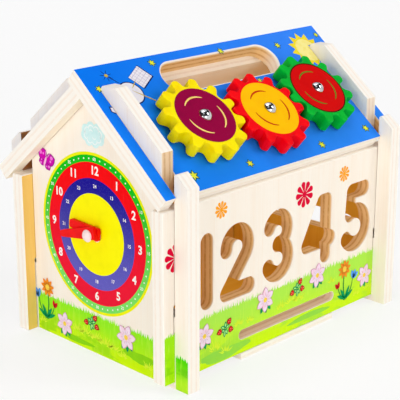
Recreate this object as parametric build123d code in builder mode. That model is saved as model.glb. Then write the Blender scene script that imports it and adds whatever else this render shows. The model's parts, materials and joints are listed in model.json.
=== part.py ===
"""Wooden activity house: slotted plywood walls, a lift-off roof with a gear train, a clock with two hands.

X runs along the ridge, the numbers wall faces -Y, the clock faces -X, Z is up. Lengths are in mm.
The origin lies on the ground, under the middle of the house.
"""

import os
from math import asin, atan2, cos, degrees, hypot, radians, sin, sqrt, tan

from build123d import *

# Board and house sizes
ply = 9.0  # thickness of every wall and gear
roof_ply = 9.6  # thickness of the two roof boards
overrun = 2.0  # how far a cutter passes the face that it leaves
half_house_x = 96.5  # middle to the outer face of a gable
half_house_y = 66.0  # middle to the outer face of a long wall
gable_wing = 10.4  # how far a gable passes the long wall
wall_wing = 8.5  # how far a long wall passes the gable
wall_height = 102.0  # numbers wall, which stands on the floor board
back_wall_gap = 0.67  # roof to the outer upper edge of the back wall
lap_height = 44.0  # top of the uncut lower half of a gable
lap_relief = 2.5  # free height over the lap
lap_clearance = 0.5  # free width on each side of a crossing board
roof_pitch = 40.1  # degrees
ridge_lip = 3.8  # how far the front board passes the top of the back board
roof_end_inset = 0.2  # roof board short of the long walls, at each end
eave_inset = 3.8  # outer face of the numbers wall to the lower edge of the front board
back_eave_reach = 7.1  # outer face of the back wall to the lower edge of the back board
roof_slot_clearance = 0.5  # on each side of a gable tab
roof_seat = 0.1  # free height of the front eave over the wall
tab_rise = 9.6  # how far a gable tab stands above the roof
tab_start = 2.2  # apex to the upper end of a slot in the front board, along the slope
back_tab_start = 4.4  # the same in the back board
tab_end_clearance = 0.7
tab_crest_rise = 7.7  # level upper end of a tab over the apex
edge_ease = 0.5  # broken edge of a board
corner_ease = 1.2  # rounded corner of a board

# Floor board
floor_thickness = 4.0
floor_clearance = 0.3
tongue_half_width = 43.6
tongue_reach = 0.4  # beyond the numbers wall
tongue_middle = 1.7

# Numbers
number_height = 46.0
number_top_margin = 15.5  # a wall's height over the ground to the top of its numbers
number_stroke = 10.4

# Middles of the numbers in shares of half the house, as each wall is read from outside
front_place_shares = (-0.732, -0.468, -0.095, 0.307, 0.69)
back_place_shares = (-0.69, -0.347, -0.01, 0.337, 0.694)

# Numbers in shares of their centre line's half height
two_bowl_share = 0.52
two_foot_left_share = 0.53
two_foot_right_share = 0.58
three_upper_share = 0.47
three_open_angle = 23.0  # degrees
four_stem_share = 0.4
four_peak_share = 0.14
four_bar_share = 0.65
four_bar_drop_share = 0.42
five_bar_share = 0.5
five_neck_share = 0.25
five_bowl_share = 0.62
five_bowl_start = 120.0  # degrees
five_bowl_end = -145.0  # degrees
six_bowl_share = 0.86  # solid round of 6, 8, 9 and 0, to its outer edge
six_tail_share = 0.75
six_tail_turn = 75.0  # degrees
seven_bar_share = 0.56
seven_foot_share = 0.2
eight_upper_share = 0.74

# Long slot under the numbers
long_slot_half_length = 45.0
long_slot_width = 6.0
long_slot_middle = 1.5
long_slot_height = 15.8

# Window of the rear gable
window_margin = 5.5  # slot of a long wall to the end of the window
window_width = 14.5
window_height = 48.3

# Carrying slot of the roof
handle_half_length = 49.3
handle_width = 22.1
handle_from_apex = 5.0
handle_middle_x = 1.3
handle_round = 1.2  # rounded upper edge of the slot

# Gear train
gear_teeth = 12
gear_count = 3
gear_margin = 11.1  # gable to the pitch circle of an outer gear, were the gears in line
gear_step_up = 5.9  # how much higher the outer gears sit on the slope
gear_middle_x = 0.9
gear_middle_from_eave = 33.9
gear_phase = 10.5  # degrees, a tooth of the first gear from +X
tooth_tip_share = 0.17  # half of a tooth's tip as a share of the tooth angle
tooth_root_share = 0.33  # half of a tooth's foot as a share of the tooth angle
addendum_share = 0.528  # of the gear's module
dedendum_share = 0.912
tip_round_share = 0.576
root_round_share = 0.576
gear_bore_clearance = 0.08
gear_play = 0.1  # free height over a gear and under it
bolt_radius = 2.5
bolt_head_radius = 4.0
bolt_head_height = 2.9
bolt_head_rim = 0.6
bolt_hole_clearance = 0.15
bolt_end = 1.2  # thread past the nut
spacer_radius = 6.0
spacer_thickness = 1.4
washer_radius = 6.0
washer_thickness = 1.0
nut_flat = 4.0  # middle to a flat of the nut
nut_height = 4.0
nut_sides = 6
thread_clearance = 0.05

# Clock
clock_height = 76.8
pin_radius = 2.0
pin_head_radius = 3.7
pin_head_height = 2.6
pin_head_rim = 0.6
pin_hole_clearance = 0.15
pin_end = 1.0
hand_thickness = 2.2
hand_bore_clearance = 0.06
hand_play = 0.12
hand_round = 1.4
hand_middle = 1.3  # middle line of a hand above its bore
hour_length = 19.2
hour_width = 8.0
hour_tip_width = 5.0
hour_tail = 6.2
hour_lift = 5.7  # degrees above the nine
minute_length = 25.2
minute_width = 8.2
minute_tip_width = 4.0
minute_tail = 6.0
minute_drop = 13.0  # degrees below the nine
clock_spacer_radius = 3.4
clock_spacer_thickness = 0.8
clock_cap_radius = 4.5
clock_cap_thickness = 2.4

# Turns in degrees
quarter_turn = 90.0
half_turn = 180.0
full_turn = 360.0

# Values that follow
slope_cos = cos(radians(roof_pitch))
slope_sin = sin(radians(roof_pitch))
slope_tan = tan(radians(roof_pitch))
wall_end_x = half_house_x + wall_wing
gable_end_y = half_house_y + gable_wing
slot_half = ply / 2 + lap_clearance
slot_middle_x = half_house_x - ply / 2
slot_middle_y = half_house_y - ply / 2
wall_slot_depth = lap_height + lap_relief
number_bottom = wall_height - number_top_margin - number_height
reach = (number_height - number_stroke) / 2
eave_y = half_house_y - eave_inset
apex_height = floor_thickness + wall_height + roof_seat + eave_y * slope_tan  # inside of the ridge
tab_crest = apex_height + tab_crest_rise
roof_half_length = wall_end_x - roof_end_inset
ridge_overrun = roof_ply / sin(radians(roof_pitch + roof_pitch))
front_reach = eave_y / slope_cos
back_board_length = (half_house_y + back_eave_reach) / slope_cos
back_wall_height = apex_height - half_house_y * slope_tan - back_wall_gap
window_half_length = slot_middle_y - slot_half - window_margin
front_board_length = front_reach + ridge_overrun + ridge_lip
roof_slot_half = ply / 2 + roof_slot_clearance
tab_start_y = (tab_start + tab_end_clearance) * slope_cos
back_tab_start_y = (back_tab_start + tab_end_clearance) * slope_cos
crest_line = apex_height + (roof_ply + tab_rise) / slope_cos
gear_pitch_radius = (half_house_x - ply - gear_margin) / gear_count
gear_module = (gear_pitch_radius + gear_pitch_radius) / gear_teeth
gear_tip_radius = gear_pitch_radius + gear_module * addendum_share
gear_root_radius = gear_pitch_radius - gear_module * dedendum_share
gear_spacing = gear_pitch_radius + gear_pitch_radius
gear_run_x = sqrt(gear_spacing * gear_spacing - gear_step_up * gear_step_up)
gear_middle_y = gear_middle_from_eave - front_reach
gear_places = [
    (gear_middle_x - gear_run_x, gear_middle_y + gear_step_up),
    (gear_middle_x, gear_middle_y),
    (gear_middle_x + gear_run_x, gear_middle_y + gear_step_up),
]


def underside(y):
    """Height of the roof's underside over y."""
    return apex_height - slope_tan * y


def crest(y):
    """Height of the tabs' sloping top over y."""
    return crest_line - slope_tan * y


# Planes of the two roof boards: origin at the apex, x along the ridge, y up the slope, z out of the roof
front_slope = Plane(
    origin=(0, 0, apex_height), x_dir=(1, 0, 0), z_dir=(0, -slope_sin, slope_cos)
)
back_slope = Plane(
    origin=(0, 0, apex_height), x_dir=(-1, 0, 0), z_dir=(0, slope_sin, slope_cos)
)


def save(part, name):
    """Label one sub-part and write its file."""
    part.label = name
    export_step(part, f"parts/{name}.step")


os.makedirs("parts", exist_ok=True)


# Gable: tabs and wings that pass the roof, slots open at the top for the long walls
def gable_half(side, start_y):
    """Corner points of one half of a gable, from the apex down to the ground."""
    tab_foot = underside(start_y)
    rise = (tab_crest - tab_foot) / slope_cos
    crest_y = (crest_line - tab_crest) / slope_tan
    inner = slot_middle_y - slot_half
    outer = slot_middle_y + slot_half
    points = [
        (0, apex_height),
        (start_y, tab_foot),
        (start_y + rise * slope_sin, tab_crest),
        (crest_y, tab_crest),
        (inner, crest(inner)),
        (inner, lap_height),
        (outer, lap_height),
        (outer, crest(outer)),
        (gable_end_y, crest(gable_end_y)),
        (gable_end_y, 0),
    ]
    return [(side * y, z) for y, z in points]


def gable_face():
    """Face of a gable in the YZ plane."""
    right = gable_half(1, back_tab_start_y)
    left = gable_half(-1, tab_start_y)
    with BuildSketch() as face:
        with BuildLine():
            Polyline(*right, *reversed(left), close=True)
        make_face()
        eased = [
            v
            for v in face.vertices()
            if v.Y > crest(gable_end_y) - overrun and abs(v.X) > tab_start_y + overrun
        ]
        fillet(eased, corner_ease)
    return face.sketch


gable_profile = gable_face()

with BuildPart() as clock_gable:
    with BuildSketch(Plane.YZ.offset(-half_house_x)):
        add(gable_profile)
    extrude(amount=ply)
    with Locations(Plane.YZ.offset(-half_house_x)):
        with Locations((0, clock_height)):
            Hole(pin_radius + pin_hole_clearance)
save(clock_gable.part, "clock_gable")

with BuildPart() as rear_gable:
    with BuildSketch(Plane.YZ.offset(half_house_x - ply)):
        add(gable_profile)
        with Locations((0, window_height)):
            SlotOverall(
                window_half_length + window_half_length, window_width, mode=Mode.SUBTRACT
            )
    extrude(amount=ply)
save(rear_gable.part, "rear_gable")


# Numbers: round-ended strokes through the long walls, with the islands of closed figures left out
def stroke(*edges):
    """Fill the outline that runs half a stroke away from a centre line."""
    centre_line = Wire(edges)
    outline = centre_line.offset_2d(number_stroke / 2, kind=Kind.ARC, side=Side.BOTH)
    add(make_face(outline.edges(), mode=Mode.PRIVATE))


def figure_one():
    """Upright stroke."""
    stroke(Line((0, -reach), (0, reach)))


def figure_two():
    """Bowl that runs on into a slanting line, then the foot."""
    radius = reach * two_bowl_share
    middle_y = reach - radius
    foot_x = -reach * two_foot_left_share
    run = hypot(foot_x, middle_y + reach)
    line_angle = degrees(atan2(middle_y + reach, -foot_x) - asin(radius / run))
    bowl = CenterArc((0, middle_y), radius, half_turn, line_angle - quarter_turn - half_turn)
    slant = Line(bowl @ 1, (foot_x, -reach))
    foot = Line((foot_x, -reach), (reach * two_foot_right_share, -reach))
    stroke(bowl, slant, foot)


def figure_three():
    """Two bowls, one over the other."""
    upper = reach * three_upper_share
    lower = reach - upper
    sweep = half_turn + quarter_turn - three_open_angle
    top = CenterArc((0, reach - upper), upper, half_turn - three_open_angle, -sweep)
    low = CenterArc((0, lower - reach), lower, quarter_turn, -sweep)
    stroke(top)
    stroke(low)


def figure_four():
    """Open figure whose triangle is cut away."""
    stem_x = reach * four_stem_share
    peak = (reach * four_peak_share, reach)
    bar_x = reach * four_bar_share
    bar_y = -reach * four_bar_drop_share
    stroke(Line((stem_x, -reach), (stem_x, reach)), Line((stem_x, reach), peak))
    stroke(Line(peak, (-bar_x, bar_y)), Line((-bar_x, bar_y), (bar_x, bar_y)))
    Polygon((stem_x, reach), peak, (-bar_x, bar_y), (stem_x, bar_y), align=None)


def figure_five():
    """Bar, neck and bowl."""
    radius = reach * five_bowl_share
    turn = five_bowl_end - five_bowl_start
    bowl = CenterArc((0, radius - reach), radius, five_bowl_start, turn)
    corner = (-reach * five_neck_share, reach)
    bar = Line((reach * five_bar_share, reach), corner)
    stroke(bar, Line(corner, bowl @ 0), bowl)


def figure_six():
    """Solid round with a curved tail."""
    outer = reach * six_bowl_share
    edge = number_height / 2
    with Locations((0, outer - edge)):
        Circle(outer)
    inner = outer - number_stroke / 2
    start = Vector(-inner, outer - edge)
    radius = reach * six_tail_share + inner
    stroke(CenterArc((start.X + radius, start.Y), radius, half_turn, -six_tail_turn))


def figure_seven():
    """Bar and slanting leg."""
    bar_x = reach * seven_bar_share
    foot = (-reach * seven_foot_share, -reach)
    stroke(Line((-bar_x, reach), (bar_x, reach)), Line((bar_x, reach), foot))


def figure_eight():
    """Two solid rounds."""
    lower = reach * six_bowl_share
    upper = reach * eight_upper_share
    edge = number_height / 2
    with Locations((0, lower - edge)):
        Circle(lower)
    with Locations((0, edge - upper)):
        Circle(upper)


def figure_zero():
    """Upright solid oval."""
    wide = reach * six_bowl_share
    SlotOverall(number_height, wide + wide - number_stroke / 2, rotation=quarter_turn)


# What each wall shows from left to right, with the turn of the figure
front_figures = [
    (figure_one, 0),
    (figure_two, 0),
    (figure_three, 0),
    (figure_four, 0),
    (figure_five, 0),
]
back_figures = [
    (figure_six, 0),
    (figure_seven, 0),
    (figure_eight, 0),
    (figure_six, half_turn),
    (figure_zero, 0),
]


def wall_face(bottom, height, figures, place_shares):
    """Face of a long wall: crossing slots open at the foot, and the numbers."""
    number_y = number_bottom + number_height / 2
    with BuildSketch() as face:
        with Locations((0, bottom)):
            Rectangle(wall_end_x + wall_end_x, height, align=(Align.CENTER, Align.MIN))
        fillet(face.vertices(), corner_ease)
        with Locations((-slot_middle_x, bottom), (slot_middle_x, bottom)):
            Rectangle(
                slot_half + slot_half,
                wall_slot_depth,
                align=(Align.CENTER, Align.MIN),
                mode=Mode.SUBTRACT,
            )
        for (draw, turn), place_share in zip(figures, place_shares):
            middle = half_house_x * place_share
            with BuildSketch(mode=Mode.PRIVATE) as figure:
                draw()
            with Locations(Location((middle, number_y, 0), (0, 0, turn))):
                add(figure.sketch, mode=Mode.SUBTRACT)
    return face.sketch


def ease_wall(part):
    """Break the outer edges of both faces of a long wall."""
    faces = part.faces().sort_by(Axis.Y)
    for face in (faces[0], faces[-1]):
        chamfer(face.outer_wire().edges(), edge_ease)


with BuildPart() as front_wall:
    with BuildSketch(Plane.XZ.offset(half_house_y)):
        add(wall_face(floor_thickness, wall_height, front_figures, front_place_shares))
        with Locations((long_slot_middle, long_slot_height)):
            SlotOverall(
                long_slot_half_length + long_slot_half_length,
                long_slot_width,
                mode=Mode.SUBTRACT,
            )
    extrude(amount=-ply)
    ease_wall(front_wall)
save(front_wall.part, "front_wall")

back_plane = Plane(origin=(0, half_house_y, 0), x_dir=(-1, 0, 0), z_dir=(0, 1, 0))
with BuildPart() as back_wall:
    with BuildSketch(back_plane):
        add(wall_face(0, back_wall_height, back_figures, back_place_shares))
    extrude(amount=-ply)
    ease_wall(back_wall)
save(back_wall.part, "back_wall")


# Floor board: a thin board between the walls, with a tongue that carries the numbers wall
with BuildPart() as floor_board:
    inner_x = half_house_x - ply - floor_clearance
    inner_y = half_house_y - ply - floor_clearance
    with BuildSketch() as floor_face:
        Rectangle(inner_x + inner_x, inner_y + inner_y)
        with Locations((tongue_middle, -inner_y)):
            Rectangle(
                tongue_half_width + tongue_half_width,
                half_house_y + tongue_reach - inner_y,
                align=(Align.CENTER, Align.MAX),
            )
    extrude(amount=floor_thickness)
save(floor_board.part, "floor_board")


# Roof boards: the front one runs over the upper end of the back one
def roof_slots(lower_end, start):
    """Cut the two slots for the gable tabs, open at the eave."""
    with Locations((-slot_middle_x, -start), (slot_middle_x, -start)):
        Rectangle(
            roof_slot_half + roof_slot_half,
            lower_end - start + overrun,
            align=(Align.CENTER, Align.MAX),
            mode=Mode.SUBTRACT,
        )


with BuildPart() as roof_front:
    with BuildSketch(front_slope):
        with Locations((0, -front_reach)):
            Rectangle(
                roof_half_length + roof_half_length,
                front_board_length,
                align=(Align.CENTER, Align.MIN),
            )
        roof_slots(front_reach, tab_start)
        with Locations((handle_middle_x, -handle_from_apex)):
            SlotOverall(
                handle_half_length + handle_half_length, handle_width, mode=Mode.SUBTRACT
            )
    extrude(amount=roof_ply)
    face_plane = front_slope.offset(roof_ply)
    face = roof_front.faces().sort_by(Axis(face_plane.origin, face_plane.z_dir))[-1]
    slot_middle = face_plane.from_local_coords((handle_middle_x, -handle_from_apex, 0))
    slot_outline = face.inner_wires().sort_by_distance(slot_middle)[0]
    fillet(slot_outline.edges(), handle_round)
    with Locations(front_slope):
        with Locations(*[(x, y, roof_ply) for x, y in gear_places]):
            Hole(bolt_radius + bolt_hole_clearance)
save(roof_front.part, "roof_front")

with BuildPart() as roof_back:
    with BuildSketch(back_slope):
        with Locations((0, ridge_overrun)):
            Rectangle(
                roof_half_length + roof_half_length,
                back_board_length + ridge_overrun,
                align=(Align.CENTER, Align.MAX),
            )
        roof_slots(back_board_length, back_tab_start)
    extrude(amount=roof_ply)
    split(bisect_by=front_slope, keep=Keep.BOTTOM)
save(roof_back.part, "roof_back")


# Gears: blunt teeth, cut from the same board
def gear_face(phase):
    """Toothed outline with one tooth at the given angle, and its bore."""
    pitch_angle = full_turn / gear_teeth
    tip = pitch_angle * tooth_tip_share
    foot = pitch_angle * tooth_root_share
    corners = []
    for tooth in range(gear_teeth):
        middle = phase + tooth * pitch_angle
        for radius, angle in (
            (gear_root_radius, middle - foot),
            (gear_tip_radius, middle - tip),
            (gear_tip_radius, middle + tip),
            (gear_root_radius, middle + foot),
        ):
            corners.append((radius * cos(radians(angle)), radius * sin(radians(angle))))
    with BuildSketch() as face:
        with BuildLine():
            Polyline(*corners, close=True)
        make_face()
        count = gear_teeth + gear_teeth
        feet = face.vertices().sort_by_distance((0, 0, 0))[:count]
        fillet(feet, gear_module * root_round_share)
        tips = face.vertices().sort_by_distance((0, 0, 0))[-count:]
        fillet(tips, gear_module * tip_round_share)
        Circle(bolt_radius + gear_bore_clearance, mode=Mode.SUBTRACT)
    return face.sketch


def meshing_phase(phase, from_place, to_place):
    """Tooth angle of the next gear whose gap meets a tooth of the last one."""
    run_x = to_place[0] - from_place[0]
    run_y = to_place[1] - from_place[1]
    line = degrees(atan2(run_y, run_x))
    return line + half_turn - (phase - line) + half_turn / gear_teeth


second_phase = meshing_phase(gear_phase, gear_places[0], gear_places[1])
third_phase = meshing_phase(second_phase, gear_places[1], gear_places[2])
gear_bottom = front_slope.offset(roof_ply + spacer_thickness + gear_play)
roof_out = Axis(gear_bottom.origin, gear_bottom.z_dir)


def make_gear(place, phase):
    """One gear on its bolt."""
    with BuildPart() as gear:
        with BuildSketch(gear_bottom):
            with Locations(place):
                add(gear_face(phase))
        extrude(amount=ply)
        top = gear.faces().sort_by(roof_out)[-1]
        chamfer(top.outer_wire().edges(), edge_ease)
    return gear.part


for name, place, phase in (
    ("gear_yellow", gear_places[0], gear_phase),
    ("gear_red", gear_places[1], second_phase),
    ("gear_green", gear_places[2], third_phase),
):
    save(make_gear(place, phase), name)


def rings(plane, places, outer, inner, thickness):
    """Flat rings of one size, rising from a plane."""
    with BuildPart() as group:
        with BuildSketch(plane):
            with Locations(*places):
                Circle(outer)
                Circle(inner, mode=Mode.SUBTRACT)
        extrude(amount=thickness)
    return group.part


def domed_pin(plane, shank, head, rim, head_height, length):
    """Pin with a domed head; the plane's Y axis is the pin's, and its origin lies under the head."""
    dome = head_height - rim
    dome_radius = (head * head + dome * dome) / (dome + dome)
    start = degrees(atan2(dome_radius - dome, head))
    with BuildPart() as pin:
        with BuildSketch(plane):
            with BuildLine():
                middle = (0, head_height - dome_radius)
                arc = CenterArc(middle, dome_radius, start, quarter_turn - start)
                Polyline(arc @ 1, (0, -length), (shank, -length), (shank, 0), (head, 0), arc @ 0)
            make_face()
        revolve(axis=Axis(plane.origin, plane.y_dir), revolution_arc=full_turn)
    return pin.part


# Bolts, spacers, washers and nuts of the gears
gear_stack = spacer_thickness + gear_play + ply + gear_play
head_seat = front_slope.offset(roof_ply + gear_stack)
shank_length = gear_stack + roof_ply + washer_thickness + nut_height + bolt_end
with BuildPart() as gear_bolts:
    for place in gear_places:
        seat = head_seat.from_local_coords(Vector(*place, 0))
        bolt_plane = Plane(origin=seat, x_dir=(1, 0, 0), z_dir=(0, -slope_cos, -slope_sin))
        bolt = domed_pin(
            bolt_plane, bolt_radius, bolt_head_radius, bolt_head_rim, bolt_head_height, shank_length
        )
        add(bolt)
save(gear_bolts.part, "gear_bolts")

bore = bolt_radius + bolt_hole_clearance
roof_top = front_slope.offset(roof_ply)
spacers = rings(roof_top, gear_places, spacer_radius, bore, spacer_thickness)
save(spacers, "gear_spacers")
washers = rings(front_slope, gear_places, washer_radius, bore, -washer_thickness)
save(washers, "gear_washers")

with BuildPart() as gear_nuts:
    with BuildSketch(front_slope.offset(-washer_thickness)):
        with Locations(*gear_places):
            RegularPolygon(nut_flat, nut_sides, major_radius=False)
            Circle(bolt_radius + thread_clearance, mode=Mode.SUBTRACT)
    extrude(amount=-nut_height)
save(gear_nuts.part, "gear_nuts")


# Clock: spacer, hour hand, minute hand, domed pin and the cap behind the gable
clock_face = Plane(origin=(-half_house_x, 0, clock_height), x_dir=(0, -1, 0), z_dir=(-1, 0, 0))
hour_seat = clock_spacer_thickness + hand_play
minute_seat = hour_seat + hand_thickness + hand_play
head_height_out = minute_seat + hand_thickness + hand_play


def hand_corners(tail, tail_width, length, tip_width):
    """Corners of a tapered hand that points to -X, its bore at the origin."""
    return [
        (tail, hand_middle - tail_width / 2),
        (tail, hand_middle + tail_width / 2),
        (-length, hand_middle + tip_width / 2),
        (-length, hand_middle - tip_width / 2),
    ]


def make_hand(seat, corners, turn):
    """Flat hand with rounded corners, turned about the pin."""
    with BuildPart() as hand:
        with BuildSketch(clock_face.offset(seat)):
            with BuildSketch(mode=Mode.PRIVATE) as outline:
                with BuildLine():
                    Polyline(*corners, close=True)
                make_face()
                fillet(outline.vertices(), hand_round)
            with Locations(Location((0, 0, 0), (0, 0, turn))):
                add(outline.sketch)
            Circle(pin_radius + hand_bore_clearance, mode=Mode.SUBTRACT)
        extrude(amount=hand_thickness)
    return hand.part


hour_corners = hand_corners(hour_tail, hour_width, hour_length, hour_tip_width)
minute_corners = hand_corners(minute_tail, minute_width, minute_length, minute_tip_width)
save(make_hand(hour_seat, hour_corners, -hour_lift), "hour_hand")
save(make_hand(minute_seat, minute_corners, minute_drop), "minute_hand")

pin_length = head_height_out + ply + clock_cap_thickness + pin_end
pin_plane = Plane(
    origin=clock_face.offset(head_height_out).origin, x_dir=(0, 0, 1), z_dir=(0, -1, 0)
)
clock_pin = domed_pin(
    pin_plane, pin_radius, pin_head_radius, pin_head_rim, pin_head_height, pin_length
)
save(clock_pin, "clock_pin")
on_pin = [(0, 0)]
pin_hole = pin_radius + pin_hole_clearance
spacer = rings(clock_face, on_pin, clock_spacer_radius, pin_hole, clock_spacer_thickness)
save(spacer, "clock_spacer")
cap_plane = clock_face.offset(-ply)
cap_bore = pin_radius + thread_clearance
cap = rings(cap_plane, on_pin, clock_cap_radius, cap_bore, -clock_cap_thickness)
save(cap, "clock_cap")
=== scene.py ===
# %% [markdown]
# # A plywood activity house, dressed for a studio picture
# The solids of this toy come from a CAD model: slotted plywood walls, a lift-off roof, three
# meshing gears and a clock. Here they get their looks: bare plywood, printed ink, painted
# gears, bright bolt heads.

# %% Load the solids
import json
import random
from functools import partialmethod
from math import cos, pi, radians, sin, sqrt, tan

import bpy
from mathutils import Matrix, Vector
from mathutils.geometry import tessellate_polygon


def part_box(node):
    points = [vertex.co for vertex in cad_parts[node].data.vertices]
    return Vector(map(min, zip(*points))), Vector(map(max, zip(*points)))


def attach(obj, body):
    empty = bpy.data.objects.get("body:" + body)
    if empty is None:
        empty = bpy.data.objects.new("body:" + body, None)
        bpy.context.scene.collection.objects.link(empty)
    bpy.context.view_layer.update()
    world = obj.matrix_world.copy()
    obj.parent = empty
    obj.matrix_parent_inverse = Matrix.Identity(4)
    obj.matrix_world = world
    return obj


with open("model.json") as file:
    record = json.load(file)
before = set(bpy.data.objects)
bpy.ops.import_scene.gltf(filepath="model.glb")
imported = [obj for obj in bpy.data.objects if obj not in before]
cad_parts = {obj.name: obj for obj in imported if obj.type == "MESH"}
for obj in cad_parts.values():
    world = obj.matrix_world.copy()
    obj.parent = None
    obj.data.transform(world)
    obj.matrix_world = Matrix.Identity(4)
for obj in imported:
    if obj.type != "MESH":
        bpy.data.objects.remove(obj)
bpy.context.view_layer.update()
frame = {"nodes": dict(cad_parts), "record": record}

MM = 0.001
joints = {joint["name"]: joint for joint in frame["record"]["behaviour"]["joints"]}

# %% [markdown]
# ## Sizes read from the solids
# The prints have to lie exactly on their boards. Typing the boards' places a second time would
# drift as soon as the model changes, so they are read from the boxes of the solids instead. The
# roof slopes, so its box gives the lower edge of its upper face, and its pitch does the rest.

# %% Where the boards are
ROOF_PLY = 9.6 * MM
PITCH = radians(40.1)
roof_up = Vector((0, cos(PITCH), sin(PITCH)))
roof_out = Vector((0, -sin(PITCH), cos(PITCH)))
back_up = Vector((0, -cos(PITCH), sin(PITCH)))
back_out = Vector((0, sin(PITCH), cos(PITCH)))
wall_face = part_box("front_wall")[0][1]
gable_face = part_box("clock_gable")[0][0]
front_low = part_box("roof_front")[0]
eave = Vector((0, front_low[1], front_low[2] + ROOF_PLY * cos(PITCH)))
back_low, back_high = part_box("roof_back")
back_eave = Vector((0, back_high[1], back_low[2] + ROOF_PLY * cos(PITCH)))
clock_pin = Vector(joints["hour_hand_turn"]["pos_m"]) / MM
print("numbers wall at y =", round(wall_face / MM, 2), "clock at", [round(v, 2) for v in clock_pin])


# %% Places on the boards, from flat millimetres to the room
def on_wall(x, z, lift):
    """A point of the numbers wall, as it is read from outside."""
    return Vector((x * MM, wall_face - lift * MM, z * MM))


def on_gable(x, z, lift):
    """A point of the clock gable: x to the right as it is read from outside."""
    return Vector((gable_face - lift * MM, -x * MM, z * MM))


def on_roof(x, up, lift):
    """A point of the front roof board: x along the eave, up from the eave."""
    return eave + Vector((x * MM, 0, 0)) + roof_up * up * MM + roof_out * lift * MM


def on_back_roof(x, up, lift):
    """The same on the back roof board, as it is seen from behind."""
    return back_eave - Vector((x * MM, 0, 0)) + back_up * up * MM + back_out * lift * MM


DIAL_TURN = radians(-0.5)
DIAL_WIDE, DIAL_TALL = 0.992, 1.012
DIAL_RIGHT, DIAL_DOWN = 1.2, 0.4


def on_dial(x, z, lift):
    """A point of the clock face; the print sits a little off its pin, and slightly askew."""
    across = DIAL_WIDE * (x * cos(DIAL_TURN) - z * sin(DIAL_TURN)) + DIAL_RIGHT
    upward = DIAL_TALL * (x * sin(DIAL_TURN) + z * cos(DIAL_TURN)) - DIAL_DOWN
    return on_gable(across - clock_pin.y, upward + clock_pin.z, lift)


print("middle of the eave", [round(v / MM, 1) for v in on_roof(0, 0, 0)])

# %% [markdown]
# ## The camera
# A picture is matched by three things: where the camera stands, which way it looks, and how
# long its lens is. These come from fitting the corners of the boards to the photograph. The
# picture's middle isn't the lens's middle there, so the camera also has a small shift.


# %% Camera
def placed(name, data):
    """A new object with this data, put in the scene."""
    made = bpy.data.objects.new(name, data)
    bpy.context.scene.collection.objects.link(made)
    return made


PHOTO_SIDE = 400
FOCAL_LENGTH, MIDDLE_X, MIDDLE_Y = 1168.214, 153.793, 180.11  # in the photograph's pixels
STAND = (-0.51624, -0.49105, 0.30019)
azimuth, elevation, roll = radians(-43.628), radians(16.516), radians(-0.709)
camera_data = bpy.data.cameras.new("photo_camera")
camera = placed("photo_camera", camera_data)
camera.matrix_world = Matrix.Translation(STAND)
for angle, axis in ((azimuth, "Z"), (pi / 2 - elevation, "X"), (roll, "Z")):
    camera.matrix_world = camera.matrix_world @ Matrix.Rotation(angle, 4, axis)
camera_data.sensor_width = 36
camera_data.lens = FOCAL_LENGTH / PHOTO_SIDE * camera_data.sensor_width
camera_data.shift_x = (PHOTO_SIDE / 2 - MIDDLE_X) / PHOTO_SIDE
camera_data.shift_y = (MIDDLE_Y - PHOTO_SIDE / 2) / PHOTO_SIDE
camera_data.clip_start = 0.02
bpy.context.scene.camera = camera
print("lens", round(camera_data.lens, 1), "mm")

# %% [markdown]
# ## Colours and wires
# Ink and paint are easiest to judge in the values that a screen shows, from 0 to 255. Blender
# mixes light in linear values, so one function turns the first into the second. Every finish
# is a net of nodes. Nets can be drawn by hand, but many here are alike, so a small class lets
# a net be written as sums: adding two wires is one Math node, and comparing gives 1 or 0.


# %% Colours and wires
def tint(red, green, blue):
    """A screen colour as the linear colour that Blender works in."""
    linear = []
    for value in (red / 255, green / 255, blue / 255):
        linear.append(value / 12.92 if value <= 0.04045 else ((value + 0.055) / 1.055) ** 2.4)
    return (*linear, 1.0)


def feed(socket, value):
    """Link a wire to an input, or set the input's value."""
    if isinstance(value, Wire):
        value.tree.links.new(value.socket, socket)
    else:
        socket.default_value = value


def node(tree, kind, inputs, output, **settings):
    """One output of a new node, with its settings made and its inputs fed."""
    made = tree.nodes.new("ShaderNode" + kind)
    for setting, value in settings.items():
        setattr(made, setting, value)
    for name, value in inputs.items():
        feed(made.inputs[name], value)
    return Wire(made.outputs[output])


class Wire:
    """A number, vector or colour that runs through a net of nodes."""

    def __init__(self, socket):
        self.socket = socket
        self.tree = socket.id_data

    def sums(self, operation, *values):
        """One sum with this number and the values."""
        return node(self.tree, "Math", dict(enumerate((self, *values))), 0, operation=operation)

    __add__ = partialmethod(sums, "ADD")
    __sub__ = partialmethod(sums, "SUBTRACT")
    __mul__ = partialmethod(sums, "MULTIPLY")
    __gt__ = partialmethod(sums, "GREATER_THAN")
    __lt__ = partialmethod(sums, "LESS_THAN")
    __abs__ = partialmethod(sums, "ABSOLUTE")
    most = partialmethod(sums, "MAXIMUM")

    def __rsub__(self, other):
        return self * -1 + other

    def between(self, low, high):
        """1 where low < number < high."""
        return (self > low) * (self < high)

    def vectors(self, operation, other, output=0):
        """One sum with this vector and another."""
        return node(self.tree, "VectorMath", {0: self, 1: other}, output, operation=operation)

    stretched = partialmethod(vectors, "MULTIPLY")
    away_from = partialmethod(vectors, "SUBTRACT")
    along = partialmethod(vectors, "DOT_PRODUCT", output=1)  # its reach in a direction

    def parts(self):
        """The x, y and z of a vector."""
        x = node(self.tree, "SeparateXYZ", {0: self}, 0)
        return [Wire(output) for output in x.socket.node.outputs]


print("cream plywood in linear light", [round(v, 3) for v in tint(248, 240, 228)])

# %% [markdown]
# ## Mixes, steps, noise and finishes
# Every finish mixes colours, takes soft steps and uses noise. Two more helpers open a finish
# and close it. Opening it gives each point's place in millimetres, so every size in a net is a
# real size, and closing it feeds the shader.


# %% Mixes, steps, noise and finishes
def mixed(share, under, over):
    """Two colours mixed: share 0 is the first, 1 the second."""
    return node(share.tree, "Mix", {0: share, 6: under, 7: over}, 2, data_type="RGBA")


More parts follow.
